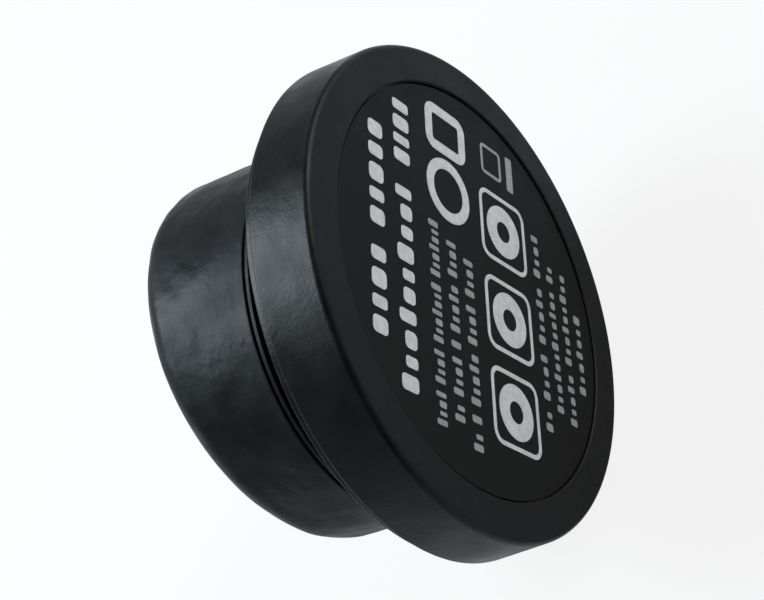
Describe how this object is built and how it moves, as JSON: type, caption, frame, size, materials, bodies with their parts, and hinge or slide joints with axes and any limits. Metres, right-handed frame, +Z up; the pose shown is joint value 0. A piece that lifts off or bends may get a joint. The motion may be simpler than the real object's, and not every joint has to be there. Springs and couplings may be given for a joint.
{
  "type": "wave maker pump",
  "caption": "Round magnet-held aquarium wave pump: wide labelled base, short rubber-sleeved head that turns on it, slanted outlet guard, small propeller.",
  "frame": {"origin": "centre of the base's glass side, in the plane of the outer ring that touches the glass", "axes": "+Y from the glass into the water along the base's axis, +Z up with the label upright, +X to the right seen from the label side"},
  "size_m": [0.0852, 0.0541, 0.0852],
  "materials": {
    "base_plastic": "satin moulded black plastic, faintly mottled",
    "label_film": "matt black with light grey print",
    "sleeve_rubber": "satin black rubber, slightly wavy",
    "housing_plastic": "semi-gloss black",
    "guard_plastic": "satin black",
    "propeller_plastic": "satin dark grey",
    "inner_plastic": "plain moulded",
    "resin": "cast",
    "seal_rubber": "smooth",
    "magnet": "nickel plated",
    "yoke_steel": "zinc plated",
    "screw_steel": "stainless",
    "lamination_steel": "stacked sheet",
    "copper": "enamelled wire",
    "board": "solder mask",
    "chip_plastic": "moulded",
    "ceramic": "ground",
    "washer_plastic": "plain"
  },
  "bodies": {
    "base": {"base_shell": "base_plastic", "label_plate": "label_film", "holding_magnets": "magnet", "magnet_carrier": "inner_plastic", "yoke_plate": "yoke_steel", "base_potting": "resin", "base_seal": "seal_rubber", "base_plate": "base_plastic", "base_screws": "screw_steel", "swivel_washer": "inner_plastic"},
    "head": {"rear_cover": "housing_plastic", "swivel_clip": "screw_steel", "grip_ring": "seal_rubber", "cover_screws": "screw_steel", "can_seal": "seal_rubber", "motor_can": "housing_plastic", "rubber_sleeve": "sleeve_rubber", "stator_core": "lamination_steel", "stator_coils": "copper", "stator_ring": "inner_plastic", "driver_board": "board", "board_parts": "chip_plastic", "gland_body": "housing_plastic", "gland_seal": "seal_rubber", "gland_nut": "guard_plastic", "shaft": "ceramic", "rear_shaft_mount": "seal_rubber", "front_shaft_mount": "seal_rubber", "nozzle_ring": "guard_plastic", "front_guard": "guard_plastic", "guard_screws": "screw_steel"},
    "rotor": {"rotor_bushes": "ceramic", "rotor_core": "inner_plastic", "rotor_magnet": "magnet", "propeller": "propeller_plastic", "thrust_washers": "washer_plastic"}
  },
  "joints": [
    {"name": "head_turn", "type": "hinge", "parent": "base", "child": "head", "pos_m": [0, 0.0165, 0], "axis": [0, 1, 0], "continuous": true},
    {"name": "rotor_spin", "type": "hinge", "parent": "head", "child": "rotor", "pos_m": [0, 0.0442, 0], "axis": [-0.1305, 0.9914, 0], "continuous": true}
  ]
}
